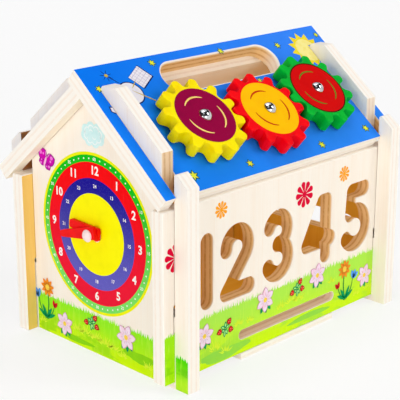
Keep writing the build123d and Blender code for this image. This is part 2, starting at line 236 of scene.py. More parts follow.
def step(value, low, high):
    """0 below low, 1 above high, and a soft rise between them."""
    inputs = {"Value": value, "From Min": low, "From Max": high}
    return node(value.tree, "MapRange", inputs, "Result", interpolation_type="SMOOTHSTEP")


def noise(place, spread, detail=2.0, roughness=0.5):
    """Soft noise; spread is how many features a millimetre has, in all or along each axis."""
    spread = spread if isinstance(spread, tuple) else (spread, spread, spread)
    inputs = {"Vector": place.stretched(spread), "Scale": 1.0}
    inputs.update({"Detail": detail, "Roughness": roughness})
    return node(place.tree, "TexNoise", inputs, "Fac")


def new_finish(name):
    """A new finish, each point's place in millimetres, and its normal."""
    finish = bpy.data.materials.new(name)
    finish.use_nodes = True
    coordinates = finish.node_tree.nodes.new("ShaderNodeTexCoord").outputs
    place = Wire(coordinates["Object"]).stretched((1000, 1000, 1000))
    print("finish", name)
    return finish, place, Wire(coordinates["Normal"])


def shader_inputs(finish):
    """The inputs of a finish's shader."""
    return finish.node_tree.nodes["Principled BSDF"].inputs


def filled(finish, colour, roughness, shine, relief=None, depth=0.0):
    """The finish with its shader fed; the relief is a bump, depth millimetres high."""
    inputs = shader_inputs(finish)
    feed(inputs["Base Color"], colour)
    feed(inputs["Roughness"], roughness)
    inputs["Specular IOR Level"].default_value = shine
    if relief:
        bump = {"Height": relief, "Distance": depth * MM}
        feed(inputs["Normal"], node(finish.node_tree, "Bump", bump, "Normal"))
    return finish


def dress(node_name, finish):
    """Give a solid its finish."""
    for slot in frame["nodes"][node_name].material_slots:
        slot.material = finish
    print(node_name, "gets", finish.name)


print("places in a finish are in units of", MM, "m")

# %% [markdown]
# ## Bare plywood
# The house is cut from birch plywood: pale veneer with long faint grain, and cut edges with pale
# and darker layers. Deep inside the house the veneer is painted darker and honey-coloured, as
# painted shade, and under the roof it is painted peach, as painted bounce light. A picture of wood
# would need a map for each board. A net that knows the board's outward direction needs none: the
# normal tells a face from an edge, and the depth under the face gives the layers. The face is
# found as the solid's furthest point that way.

# %% Plywood tones
FACE_CREAM, FACE_WARM = tint(251, 243, 232), tint(247, 231, 212)
EDGE_PALE, EDGE_DARK = tint(252, 246, 237), tint(249, 237, 224)
ROUTED_PALE, ROUTED_DARK = tint(240, 200, 144), tint(216, 164, 98)
# Painted shade: the tones inside the house and the honey pair for the back wall's inner face are
# darker and warmer to stand for the shade in there.
INSIDE_SHADE_WARM, INSIDE_SHADE_DARK = tint(250, 200, 76), tint(238, 174, 46)
HONEY_SHADE = (tint(250, 208, 118), tint(242, 192, 86))
# Painted bounce light: the peach pair under the roof.
PEACH_BOUNCE_LIGHT = (tint(255, 246, 230), tint(253, 236, 212))
# Saw burn and painted shade: the dark brown of the posts.
TOASTED_AND_SHADED = tint(170, 112, 60)
LAYER_PAIR = 3.9  # one pale and one dark layer, in millimetres
SATIN = 0.04  # how strongly bare wood and ink shine
FACE_ON = 0.9  # a normal that reaches this far along a direction belongs to that face
INNER_X, INNER_Y, INNER_RIDGE = 88, 58, 159.4
print("two layers of plywood take", LAYER_PAIR, "mm")


# %% Plywood finish
def wood_grain(place, grain):
    """How warm the veneer is at each point, and its fine fibres along the grain."""
    broad = noise(place, tuple(v * 0.3 for v in grain))
    fibres = noise(place, tuple(v * 2.6 for v in grain), 4.0, 0.65)
    return step(fibres, 0.48, 0.75) * 0.5 + step(broad, 0.35, 0.75) * 0.35, fibres


def ply_layers(place, depth):
    """1 in the darker layers, the second and the fourth, whose lines are a little uneven."""
    uneven = noise(place, 0.09) * 0.8 + depth
    wave = ((uneven - 3.0) * (2 * pi / LAYER_PAIR)).sums("COSINE")
    return step(wave, 0.05, 0.9) * step(noise(place, 0.45, 3.0, 0.7), 0.15, 0.6)


def indoors(place):
    """1 inside the house, between its walls and under its roof: where faces get painted shade."""
    x, y, z = place.parts()
    under_roof = abs(y) * tan(PITCH) + z < INNER_RIDGE
    return x.between(-INNER_X, INNER_X) * (abs(y) < INNER_Y) * under_roof


def board(node_name, name, outward, grain, routed=None, toasted_and_shaded=None, inner=None,
          printed=None, bare_rim=None):
    """Dress one board, whose face looks outward and whose fibres follow the grain."""
    finish, place, normal = new_finish(name)
    outward = Vector(outward)
    solid = frame["nodes"][node_name].data
    front = max(outward.dot(v.co) for v in solid.vertices) / MM
    facing = normal.along(outward)
    warmth, fibres = wood_grain(place, grain)
    depth = front - place.along(outward)
    layers = ply_layers(place, depth)
    edge = mixed(layers, EDGE_PALE, EDGE_DARK)
    if routed:
        brown = mixed(layers, ROUTED_PALE, ROUTED_DARK)
        edge = mixed(routed(place, normal), edge, mixed(step(depth, 0.0, 1.4), EDGE_PALE, brown))
    # Saw burn and painted shade: the posts' brown edges.
    if toasted_and_shaded:
        edge = mixed(toasted_and_shaded(place, normal), edge, TOASTED_AND_SHADED)
    # Painted shade: faces inside the house get darker, warmer tones.
    inside = mixed(warmth, INSIDE_SHADE_WARM, INSIDE_SHADE_DARK)
    face = mixed(indoors(place), mixed(warmth, FACE_CREAM, FACE_WARM), inside)
    # The inner face gets its own pair: painted shade on the back wall, painted bounce light under
    # the roof.
    if inner:
        face = mixed(facing < -FACE_ON, face, mixed(warmth, *inner))
    if printed:
        inked = facing > FACE_ON
        if bare_rim:
            inked = inked * (1 - bare_rim(place))
        face = mixed(inked, face, printed(place))
    worn = noise(place, 0.08, 3.0) * 0.22 + 0.46
    colour = mixed(abs(facing) > FACE_ON, edge, face)
    dress(node_name, filled(finish, colour, worn, SATIN, fibres, 0.03))


print("veneer tones", [round(v, 3) for v in FACE_CREAM[:3]], [round(v, 3) for v in FACE_WARM[:3]])

# %% [markdown]
# ## Where the saw and the router went
# The numbers and slots are routed, and browner there; the long slot is half as brown. The saw
# browned the upright ends of the tabs and the posts beside the roof; the posts' brown is also
# painted shade, as they stand in the shade under the roof. Each such area is a small sum on place
# and normal, which is easier to move than paint brushed on the mesh.


# %% Walls, gables and floor board
UPRIGHT = (0.45, 0.45, 0.012)
LENGTHWISE = (0.012, 0.45, 0.45)
EDGE_ON = 0.95
NUMBERS, LONG_SLOT, LONG_SLOT_BROWN = (30, 98), (8, 30), 0.45


def number_area(place, normal):
    """The numbers of a long wall and, half as brown, the long slot."""
    x, y, z = place.parts()
    browned = z.between(*NUMBERS) + z.between(*LONG_SLOT) * LONG_SLOT_BROWN
    return x.between(-86.5, 86.5) * browned


def post_edges(place, normal):
    """The edges of a gable's posts that face the middle of the house: saw-browned, and browner
    still as painted shade.
    """
    x, y, z = place.parts()
    inward = y.sums("SIGN") * normal.parts()[1]
    return (inward < -0.7) * (abs(y) > 62) * step(z, 96, 104)


def tab_ends(place, normal):
    """The upright ends of a gable's tabs, browner on the clock gable."""
    x, y, z = place.parts()
    ends = (abs(normal.parts()[1]) > EDGE_ON) * abs(y).between(44, 65) * (z > 105)
    return ends * ((x < 0) * 0.45 + 0.35)


def window_area(place, normal):
    """The rear gable's window and the ends of its tabs."""
    x, y, z = place.parts()
    return (y.between(-54, 54) * z.between(38, 60)).most(tab_ends(place, normal))


board("front_wall", "wall_front_wood", (0, -1, 0), UPRIGHT, number_area)
# The back wall's inner face gets the honey pair: painted shade.
board("back_wall", "wall_back_wood", (0, 1, 0), UPRIGHT, number_area, inner=HONEY_SHADE)
board("clock_gable", "clock_gable_wood", (-1, 0, 0), UPRIGHT, tab_ends, post_edges)
board("rear_gable", "rear_gable_wood", (1, 0, 0), UPRIGHT, window_area, post_edges)
board("floor_board", "floor_wood", (0, 0, 1), LENGTHWISE)

# %% [markdown]
# ## The printed roof
# Each roof board has a blue sky on its upper face. The ink stops at the edges, and the rounded
# edge of the carrying slot is bare too. The sky could be a thin sheet laid on the board, but it
# covers the whole face, so it is simply the face's colour, and the bare rim comes from the
# distance to the slot's outline. Under the roof the veneer is painted peach, as painted bounce
# light.


# %% Sky ink, bare rim and the roof's cuts
def sky(place):
    """Blue that turns a little lighter to the right and towards the eave."""
    x, y, z = place.parts()
    blue = mixed(step(x, -110, 110), tint(0, 120, 242), tint(58, 138, 254))
    blue = mixed(step(z, 180, 105) * 0.5, blue, tint(34, 146, 254))
    return mixed(noise(place, 0.2, 3.0) * 0.16, blue, tint(0, 84, 214))


SLOT_HALF = 49.3
SLOT_RADIUS = 11.05
slot_middle = on_roof(1.3, 76.32, 0) / MM


def from_slot(place):
    """How far a point lies from the middle of the carrying slot, along it and up the roof."""
    away = place.away_from(slot_middle)
    return abs(away.along((1, 0, 0))), away.along(roof_up)


def slot_rim(place):
    """1 close to the outline of the carrying slot."""
    along, across = from_slot(place)
    past = (along - (SLOT_HALF - SLOT_RADIUS)).most(0.0)
    distance = (past * past + across * across).sums("SQRT")
    return 1 - step(distance, SLOT_RADIUS + 0.9, SLOT_RADIUS + 1.3)


def tab_slots(place, normal):
    """The side walls of the roof's slots for the gable tabs."""
    return (abs(normal.parts()[0]) > EDGE_ON) * abs(place.parts()[0]).between(80, 103)


def slot_area(place, normal):
    """The routed parts of the front roof board; the carrying slot is browner at its top."""
    along, across = from_slot(place)
    browned = step(across, -4, 9) * 0.8 + 0.2
    handle = (abs(across) < SLOT_RADIUS + 1) * (along < SLOT_HALF + 1) * browned
    return handle.most(tab_slots(place, normal))


def ridge_area(place, normal):
    """The upper end of the back roof board, seen through the slot, browned a little as painted
    shade, and its tab slots.
    """
    upper = (abs(normal.parts()[0]) < 0.5) * step(place.parts()[2], 140, 150) * 0.3
    return upper.most(tab_slots(place, normal))


# Under the roof the peach pair: painted bounce light.
board("roof_front", "roof_front_print", roof_out, LENGTHWISE, slot_area, inner=PEACH_BOUNCE_LIGHT,
      printed=sky, bare_rim=slot_rim)
board("roof_back", "roof_back_print", back_out, LENGTHWISE, ridge_area, inner=PEACH_BOUNCE_LIGHT, printed=sky)

# %% [markdown]
# ## Painted gears
# The gears are cut from the same plywood and dipped in thick satin paint. Paint over wood isn't
# flat: noise in the bump gives its fine orange skin, and noise in the colour shows where it
# pools. Real plastic, such as the clock's pin, is the same net with a finer skin.


# %% Paint finish
def paint(node_name, name, colour, shade, roughness=0.34, skin=0.02, spread=0.9):
    """Dress a solid in satin paint with a fine skin."""
    finish, place, normal = new_finish(name)
    pooled = step(noise(place, 0.12, 3.0), 0.35, 0.85)
    fine = noise(place, spread, 3.0, 0.6)
    colour = mixed(pooled, tint(*colour), tint(*shade))
    dress(node_name, filled(finish, colour, fine * 0.16 + (roughness - 0.08), 0.1, fine, skin))


paint("gear_yellow", "gear_paint_yellow", (255, 236, 0), (252, 218, 0))
paint("gear_red", "gear_paint_red", (252, 0, 14), (236, 0, 16))
paint("gear_green", "gear_paint_green", (0, 186, 52), (0, 166, 48))
paint("hour_hand", "hand_paint_hour", (246, 8, 12), (226, 4, 10), 0.4)
paint("minute_hand", "hand_paint_minute", (246, 8, 12), (226, 4, 10), 0.4)
paint("gear_spacers", "spacer_plastic", (236, 236, 232), (220, 220, 216), 0.4, 0.005)
paint("clock_pin", "pin_plastic", (250, 226, 226), (240, 208, 210), 0.18, 0.004, 0.4)
paint("clock_spacer", "clock_spacer_plastic", (238, 236, 232), (222, 220, 216), 0.35, 0.005)
paint("clock_cap", "clock_cap_plastic", (240, 238, 234), (224, 222, 218), 0.3, 0.005)

# %% [markdown]
# ## Bolts, washers and nuts
# The gears turn on bolts with domed heads, polished like a mirror. A mirror shows only what is
# around it, so its own finish stays simple: full metal, low roughness, and fine scratches. The
# nuts and washers inside are dull zinc.


# %% Metal finish
def metal(node_name, name, colour, roughness, scratch):
    """Dress a solid in metal with fine scratches and a slightly uneven polish."""
    finish, place, normal = new_finish(name)
    fine = noise(place, (2.5, 2.5, 0.4), 4.0, 0.7)
    colour = mixed(step(noise(place, 0.35), 0.3, 0.9), tint(*colour), tint(150, 152, 158))
    filled(finish, colour, fine * 0.1 + roughness, 0.5, fine, scratch)
    shader_inputs(finish)["Metallic"].default_value = 1.0
    dress(node_name, finish)


metal("gear_bolts", "bolt_chrome", (226, 228, 232), 0.05, 0.002)
metal("gear_washers", "washer_zinc", (186, 188, 192), 0.3, 0.01)
metal("gear_nuts", "nut_zinc", (178, 180, 184), 0.28, 0.01)

# %% [markdown]
# ## Ink on wood
# Everything printed is a thin film: flat shapes, thinner than a tenth of a millimetre, each in
# its place on the board. A film could be a picture on the board's face, but a picture has
# pixels, and a film stays sharp from any distance. Each film is a closed thin slab, so it has an
# edge and a back as a real layer has. Shapes may have holes, which the fill respects.

# %% Film builder
FILM = 0.06
FIRST_GAP = 0.02


def sheet(name, points, faces, finish):
    """A new mesh in its finish."""
    mesh = bpy.data.meshes.new(name)
    mesh.from_pydata(points, [], faces)
    mesh.validate()
    mesh.materials.append(finish)
    print(name, "faces", len(mesh.polygons))
    return placed(name, mesh)


def turned_left(loop):
    """The loop, run round to the left."""
    area = sum(a[0] * b[1] - b[0] * a[1] for a, b in zip(loop, loop[1:] + loop[:1]))
    return loop if area > 0 else loop[::-1]


def film(name, shapes, place, finish, layer=0, body="house"):
    """One printed piece: every shape is an outline, or a list of an outline and its holes."""
    points, faces = [], []
    low = FIRST_GAP + layer * FILM
    for shape in shapes:
        loops = shape if isinstance(shape[0][0], (tuple, list)) else [shape]
        holes = [turned_left(hole)[::-1] for hole in loops[1:]]
        loops = [turned_left(loops[0])] + holes
        flat = [point for loop in loops for point in loop]
        count, start = len(flat), len(points)
        points += [place(x, y, low + FILM) for x, y in flat]
        points += [place(x, y, low) for x, y in flat]
        for a, b, c in tessellate_polygon([[Vector((x, y, 0)) for x, y in loop] for loop in loops]):
            (ax, ay), (bx, by), (cx, cy) = flat[a], flat[b], flat[c]
            if (bx - ax) * (cy - ay) - (cx - ax) * (by - ay) < 0:
                b, c = c, b
            faces.append((start + a, start + b, start + c))
            faces.append((start + count + a, start + count + c, start + count + b))
        first = start
        for loop in loops:
            for i in range(len(loop)):
                j = (i + 1) % len(loop)
                faces.append((first + i, first + count + i, first + count + j, first + j))
            first += len(loop)
    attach(sheet(name, points, faces, finish), body)


print("a film is", FILM, "mm thick")


# %% Ink, circles and rings
def ink(name, colour, second=None, share=0.5, patch=0.15, reflection_and_specks=None):
    """Printed ink: the grain just shows through, the tone is uneven, pale specks, and a painted
    reflection of the table pales its foot.
    """
    finish, place, normal = new_finish(name)
    fibres = noise(place, (1.1, 1.1, 0.05), 3.0, 0.6)
    first = tint(*colour)
    second = tint(*second) if second else (*(0.9 * v for v in first[:3]), 1.0)
    tone = mixed(step(noise(place, patch, 3.0), 0.4, 0.8) * share, first, second)
    # Pale specks all over, and a painted reflection of the white table towards the foot.
    if reflection_and_specks:
        reflected_foot = step(place.parts()[2], 112, 42)
        specks = step(noise(place, 1.6), 0.5, 0.72)
        tone = mixed(specks * 0.12 + reflected_foot * 0.55, tone, tint(*reflection_and_specks))
    colour = mixed(step(fibres, 0.66, 0.8) * 0.06, tone, FACE_CREAM)
    return filled(finish, colour, fibres * 0.2 + 0.36, SATIN, fibres, 0.02)


def circle(x, y, radius, sides=48):
    """A round outline."""
    angles = [2 * pi * i / sides for i in range(sides)]
    return [(x + radius * cos(angle), y + radius * sin(angle)) for angle in angles]


def ring(outer, inner, sides=160):
    """A ring: an outline with one hole."""
    return [circle(0, 0, outer, sides), circle(0, 0, inner, sides)]


print("a ring has", len(ring(2, 1)[0]), "points on each edge")

# %% [markdown]
# ## The clock face
# The dial is printed: a yellow rim, a green ring with white dots for the minutes, a red ring
# with the hours, a blue ring with the hours of the afternoon, and a yellow middle. Rings that
# touch but don't overlap need only one layer of film, and the white figures are a second layer.

# %% Dial rings
# The last column is the pale tone of the specks and of the painted reflection at the ink's foot.
DIAL = [
    ("dial_rim", 48.9, 47.2, (240, 242, 10), None),
    ("dial_green", 47.2, 43.0, (0, 194, 20), (160, 246, 130)),
    ("dial_red", 43.0, 33.5, (250, 0, 8), (230, 30, 70)),
    ("dial_blue", 33.5, 24.5, (20, 8, 146), (130, 124, 222)),
    ("dial_middle", 24.5, 4.5, (255, 248, 0), None),
]
for name, outer, inner, colour, reflection_and_specks in DIAL:
    film(name, [ring(outer, inner)], on_dial, ink(name + "_ink", colour, reflection_and_specks=reflection_and_specks))

# %% [markdown]
# ## Figures on the dial
# Numbers on a clock are lettering, and Blender's text object already knows how to draw them. The
# text is made thick by its own extrusion and bolder by its offset, turned into a mesh, and laid
# on the dial at its hour. All figures of a ring become one piece.


# %% Dial figures
def lay_figures(name, values, radius, size, bold):
    """The values round the dial as one mesh, each upright, the last one at the top."""
    points, faces = [], []
    for number, value in enumerate(values, 1):
        angle = radians(90 - 360 * number / len(values))
        x, y = radius * cos(angle), radius * sin(angle)
        text = bpy.data.curves.new(name, "FONT")
        text.body = str(value)
        text.align_x = text.align_y = "CENTER"
        text.size = size
        text.offset = bold
        text.extrude = FILM / 2
        text.resolution_u = 3
        holder = placed(name, text)
        drawn = bpy.data.meshes.new_from_object(holder)
        start = len(points)
        middle = FIRST_GAP + 1.5 * FILM
        points += [on_dial(x + v.co.x, y + v.co.y, middle + v.co.z) for v in drawn.vertices]
        faces += [tuple(start + i for i in polygon.vertices) for polygon in drawn.polygons]
        bpy.data.objects.remove(holder)
        bpy.data.meshes.remove(drawn)
        bpy.data.curves.remove(text)
    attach(sheet(name, points, faces, white_ink), "house")


MINUTE_RADIUS = 45.1
white_ink = ink("white_ink", (255, 250, 246), (246, 238, 238), 0.3)
lay_figures("dial_hours", range(1, 13), 38.2, 7.1, 0.2)
lay_figures("dial_afternoon", range(13, 25), 29.0, 3.0, 0.04)
lay_figures("dial_minutes", range(5, 61, 5), MINUTE_RADIUS, 2.7, 0.03)
dots = []
for angle in [radians(6 * minute) for minute in range(60) if minute % 5]:
    dots.append(circle(MINUTE_RADIUS * sin(angle), MINUTE_RADIUS * cos(angle), 0.5, 10))
film("dial_dots", dots, on_dial, white_ink, 1)

# %% [markdown]
# ## The meadow
# A strip of grass runs round the foot of the house. Its body is one film with a ragged upper
# edge, made blade by blade with seeded chance, so it comes out the same each time. The long
# slot goes through the meadow, so the film has a hole there. The colour runs from yellow-green
# at the foot to a cooler green at the top, with darker patches, all from the height and noise.


# %% Grass ink
def grass_ink(name, foot, top, low_green, high_green, patch_green):
    """Meadow colours that follow the height above the ground."""
    finish, place, normal = new_finish(name)
    z = place.parts()[2]
    patches = noise(place, (0.03, 0.03, 0.11), 3.0, 0.55)
    blades = noise(place, (1.0, 1.0, 0.09), 3.0, 0.6)
    base = mixed(step(patches * 14.0 + z, foot + 6, top + 7), tint(*low_green), tint(*high_green))
    dark = step(patches, 0.52, 0.6) * step(z, foot + 18, foot + 10)
    base = mixed(dark * 0.7, base, tint(*patch_green))
    base = mixed(step(blades, 0.5, 0.7) * 0.3, base, tint(226, 250, 90))
    return filled(finish, base, blades * 0.2 + 0.38, SATIN, blades, 0.02)


meadow = grass_ink("meadow_ink", 4, 37, (208, 248, 8), (174, 237, 80), (162, 228, 66))
gable_meadow = grass_ink("gable_meadow_ink", 0, 25, (210, 248, 4), (146, 238, 34), (150, 220, 20))
wing_meadow = grass_ink("wing_meadow_ink", 6, 34, (188, 242, 14), (160, 236, 24), (146, 224, 20))
deep_meadow = grass_ink("deep_meadow_ink", 4, 20, (184, 238, 40), (84, 216, 10), (110, 200, 20))


# %% Meadow films
def ragged_strip(left, right_end, foot, top, blade):
    """Outline of a strip of grass from left to right_end, its upper edge made of blades."""
    outline = [(left, foot), (right_end, foot), (right_end, top)]
    x = right_end
    while x > left + 1.0:
        width = chance.uniform(0.6, 1.3)
        lean = chance.uniform(-0.9, 0.9)
        tip = top + blade * chance.uniform(0.15, 1.0)
        base = top + chance.uniform(-0.8, 0.5)
        next_x = max(x - width, left + 0.2)
        tip_x = min(max((x + next_x) / 2 + lean, left + 0.05), right_end - 0.05)
        outline += [(tip_x, tip), (next_x, base)]
        x = next_x
    return outline + [(left, top)]


def long_slot(half_length, radius, x, z):
    """Outline of the long slot, a little wider than the cut."""
    outline = []
    for side, start in ((1, -90), (-1, 90)):
        middle = x + side * (half_length - radius)
        angles = [radians(start + 15 * i) for i in range(13)]
        outline += [(middle + radius * cos(a), z + radius * sin(a)) for a in angles]
    return outline


chance = random.Random(7)
wall_grass = [ragged_strip(-87.4, 87.4, 4.3, 35.6, 3.6), long_slot(45.2, 3.2, 1.5, 15.8)]
film("meadow_wall", [wall_grass], on_wall, meadow)
film("meadow_gable", [ragged_strip(-56.3, 56.3, 0.4, 24.2, 3.6)], on_gable, gable_meadow)
film("meadow_wall_left", [ragged_strip(-104.4, -96.6, 4.6, 33.0, 2.6)], on_wall, wing_meadow)
film("meadow_wall_right", [ragged_strip(96.6, 104.4, 4.6, 34.0, 2.6)], on_wall, wing_meadow)
film("meadow_gable_front", [ragged_strip(66.7, 76.2, 0.4, 19.5, 3.2)], on_gable, deep_meadow)

# %% [markdown]
# ## Outlines for the small prints
# The small prints are flat drawings, each made of a few simple outlines. A drawing could be
# traced, but a formula gives cleaner shapes: a petal is two mirrored curves, a star is points on
# two circles, a cloud is the outer edge of a few bubbles. One helper turns, scales and moves an
# outline to its place, and one cuts it at the edge of a board, as the print is cut there.


# %% Outlines moved, repeated and cut
def moved(outline, x, y, size=1.0, turn_by=0.0):
    """The outline turned by degrees, scaled and moved."""
    c, s = size * cos(radians(turn_by)), size * sin(radians(turn_by))
    return [(x + u * c - v * s, y + u * s + v * c) for u, v in outline]


def fan(outline, x, y, size, angles):
    """Copies of an outline, each turned by one of the angles."""
    return [moved(outline, x, y, size, angle) for angle in angles]


def whorl(outline, count, x, y, size, turn_by=0.0):
    """Copies of an outline in a circle."""
    return fan(outline, x, y, size, [turn_by + 360 * i / count for i in range(count)])


def cut(outline, limit, keep_right=True):
    """The part of an outline on one side of the line x = limit."""
    kept = []
    sign = 1 if keep_right else -1
    for (ax, ay), (bx, by) in zip(outline, outline[1:] + outline[:1]):
        a_in, b_in = sign * (ax - limit) >= 0, sign * (bx - limit) >= 0
        if a_in:
            kept.append((ax, ay))
        if a_in != b_in:
            kept.append((limit, ay + (by - ay) * (limit - ax) / (bx - ax)))
    return kept


print("half a square keeps", len(cut([(-1, -1), (1, -1), (1, 1), (-1, 1)], 0)), "points")


# %% Petals, stars, clouds and strokes
def petal(start, end, width, fullness=0.55, sides=8):
    """A petal along x from start to end; fullness says how far out it is widest."""
    bend = 0.385 / (1.0001 - fullness)
    edge = [(start, 0.0)]
    for share in [i / sides for i in range(1, sides)]:
        half = width / 2 * sin(pi * share ** bend) ** 0.8
        edge.append((start + (end - start) * share, half))
    return edge + [(end, 0.0)] + [(x, -y) for x, y in edge[:0:-1]]


def wedge(start, end, half_angle, sides=7):
    """A wedge petal: narrow at the heart, with a round end."""
    shoulder = end * 0.8
    half = shoulder * tan(half_angle)
    outline = [(start, -start * tan(half_angle))]
    for angle in [pi * (i / sides - 0.5) for i in range(sides + 1)]:
        outline.append((shoulder + (end - shoulder) * cos(angle), half * sin(angle)))
    return outline + [(start, start * tan(half_angle))]


def star(points, outer, inner):
    """A star on two circles."""
    outline = []
    for i in range(2 * points):
        radius, angle = inner if i % 2 else outer, radians(90 + 180 * i / points)
        outline.append((radius * cos(angle), radius * sin(angle)))
    return outline


def bubbles(circles, sides=72):
    """The outer edge of some circles that overlap round the middle."""
    outline = []
    for angle in [2 * pi * i / sides for i in range(sides)]:
        reach = 0.0
        for x, y, radius in circles:
            along = x * cos(angle) + y * sin(angle)
            aside = -x * sin(angle) + y * cos(angle)
            if abs(aside) < radius:
                reach = max(reach, along + sqrt(radius * radius - aside * aside))
        outline.append((reach * cos(angle), reach * sin(angle)))
    return outline


def stroke(radius, start, end, width, sides=14):
    """A curved stroke on a circle round the middle, from one angle to another, in degrees."""
    outer_edge, inner_edge = [], []
    for share in [i / sides for i in range(sides + 1)]:
        angle = radians(start + (end - start) * share)
        half = width / 2 * (0.25 + 0.75 * sin(pi * share) ** 0.6)
        outer_edge.append(((radius + half) * cos(angle), (radius + half) * sin(angle)))
        inner_edge.append(((radius - half) * cos(angle), (radius - half) * sin(angle)))
    return outer_edge + inner_edge[::-1]


print("a petal has", len(petal(0, 1, 0.5)), "points")

# %% [markdown]
# ## Daisies above the numbers
# Two orange daisies and a crimson one are printed above the numbers, and a second crimson one
# on the left wing, all with wedge petals and thin gaps. The gable passes in front of the one
# on the wing, so that one is cut there in the mesh, and nothing pokes into the gable.

# %% Daisies
crimson = ink("crimson_ink", (222, 0, 54), (212, 0, 60), 0.4)
orange = ink("orange_ink", (255, 166, 30), (250, 180, 60), 0.5, 0.5)
LEFT_DAISY, RIGHT_DAISY, CRIMSON_DAISY = (-59, 97.5), (53.5, 95), (14.6, 90.2)
WING_EDGE = -96.7


def daisy(x, z, size, count, turn_by):
    """Wedge petals round a small solid heart."""
    return whorl(wedge(0.12, 1, radians(180 / count - 4.4)), count, x, z, size, turn_by)


oranges = daisy(*LEFT_DAISY, 5.1, 10, 8) + daisy(*RIGHT_DAISY, 5.1, 10, 12)
film("daisies_orange", oranges, on_wall, orange)
hearts = [circle(*LEFT_DAISY, 1.1, 16), circle(*RIGHT_DAISY, 1.1, 16)]
film("daisy_hearts_orange", hearts, on_wall, orange, 1)
film("daisy_crimson", daisy(*CRIMSON_DAISY, 8.2, 9, 22), on_wall, crimson)
film("daisy_heart_crimson", [circle(*CRIMSON_DAISY, 1.8, 18)], on_wall, crimson, 1)
wing_petals = [cut(outline, WING_EDGE, False) for outline in daisy(-95.6, 78.5, 8.2, 9, 12)]
film("daisy_crimson_wing", [p for p in wing_petals if len(p) > 2], on_wall, crimson)

# %% [markdown]
# ## Patches and tufts of grass
# A flat green strip looks like paper. The print has darker patches with wavy edges and fans of
# pale blades in it, so the films of both lie on the meadow, shaped with the same seeded chance.


# %% Patches and tufts
def tufts(places):
    """Fans of thin blades; places holds (x, z, size)."""
    blades = []
    for x, z, size in places:
        for lean in range(-60, 61, 15):
            reach = size * chance.uniform(0.6, 1.0)
            blade = petal(0.34 * reach, reach, 0.07 * size + 0.2, 0.35)
            blades.append(moved(blade, x, z, 1, 90 + lean + chance.uniform(-3, 3)))
    return blades


def shade_patch(x, z, half_width, half_height):
    """A darker patch of grass with a wavy edge."""
    outline = []
    for angle in [2 * pi * i / 28 for i in range(28)]:
        wave = 1 + 0.14 * sin(3 * angle + x) + chance.uniform(-0.05, 0.05)
        outline.append((x + half_width * wave * cos(angle), z + half_height * wave * sin(angle)))
    return outline


blade_ink = ink("blade_ink", (226, 250, 60), (206, 246, 50), 0.7, 0.5)
patch_ink = ink("patch_ink", (150, 222, 74), (164, 228, 60), 0.7, 0.2)
gable_patch_ink = ink("gable_patch_ink", (140, 214, 20), (150, 224, 20), 0.7, 0.2)
WALL_TUFTS = [
    (-80, 6, 9), (-64, 12, 9), (-55, 8, 8), (-44, 21.5, 7), (-34, 21, 6), (-6, 21, 7),
    (4, 21.5, 9), (12, 21, 8), (70, 8, 6), (44, 24, 6), (83, 9, 8),
]
GABLE_TUFTS = [
    (-18, 8.5, 8), (-11, 8, 10), (-2, 7.5, 9), (7, 6, 10), (15, 6, 8), (23, 4, 7),
    (-52, 5, 6), (44, 4, 7), (50, 12, 5),
]
wall_patches = [shade_patch(-56, 9.0, 21, 3.6), shade_patch(22, 9.2, 20, 1.9)]
film("patches_wall", wall_patches, on_wall, patch_ink, 1)
film("tufts_wall", tufts(WALL_TUFTS), on_wall, blade_ink, 2)
gable_patches = [shade_patch(37, 9.5, 13, 3.2), shade_patch(-18, 3.8, 14, 1.8)]
film("patches_gable", gable_patches, on_gable, gable_patch_ink, 1)
film("tufts_gable", tufts(GABLE_TUFTS), on_gable, blade_ink, 2)

# %% [markdown]
# ## Meadow flowers and berries
# The meadow has pale pink flowers with a yellow heart and sprigs with three red berries. Each
# colour of a board is one film, and the films lie on each other in the order of printing:
# grass, leaves, dark outline, petals, heart. The outline is the same petal, a little larger.

# %% Flower and berry inks
leaf_ink = ink("leaf_ink", (0, 152, 84), (10, 176, 104), 0.8, 0.6)
leaf_pale_ink = ink("leaf_pale_ink", (170, 240, 140), (120, 226, 120), 0.7, 0.6)
petal_ink = ink("petal_ink", (246, 226, 246), (255, 196, 216), 0.8, 0.3)
petal_line_ink = ink("petal_line_ink", (222, 150, 186), (186, 150, 180), 0.5, 0.5)
heart_ink = ink("heart_ink", (252, 216, 84), (244, 184, 60), 0.7, 0.9)
berry_ink = ink("berry_ink", (226, 30, 40), (186, 14, 30), 0.8, 0.7)
berry_line_ink = ink("berry_line_ink", (120, 20, 20), (60, 60, 20), 0.5, 0.7)
seed_ink = ink("seed_ink", (255, 190, 130), (250, 220, 170), 0.6, 0.7)


# %% Flowers and sprigs
def prints(name, place, first_layer, parts, body="house"):
    """Films that lie on each other; parts holds (part, shapes, ink, layers up)."""
    for part, shapes, finish, layers_up in parts:
        film(f"{name}_{part}", shapes, place, finish, first_layer + layers_up, body)


OVER_GRASS = 3


def flowers(name, places, place):
    """Pink flowers; places holds (x, z, radius, turn)."""
    leaves, lines, petals, veins, hearts = [], [], [], [], []
    for x, z, radius, turn_by in places:
        leaves += fan(petal(0.35, 1.14, 0.36, 0.6), x, z, radius, (-116, -84, -56))
        lines += whorl(petal(0.08, 1.05, 0.62, 0.62), 6, x, z, radius, turn_by)
        petals += whorl(petal(0.08, 0.99, 0.54, 0.62), 6, x, z, radius, turn_by)
        veins += whorl(petal(0.3, 0.6, 0.03), 6, x, z, radius, turn_by)
        hearts.append(circle(x, z, 0.2 * radius, 14))
    prints(name, place, OVER_GRASS, [
        ("leaves", leaves, leaf_ink, 0), ("lines", lines, petal_line_ink, 1),
        ("petals", petals, petal_ink, 2), ("veins", veins, petal_line_ink, 3),
        ("hearts", hearts, heart_ink, 3),
    ])


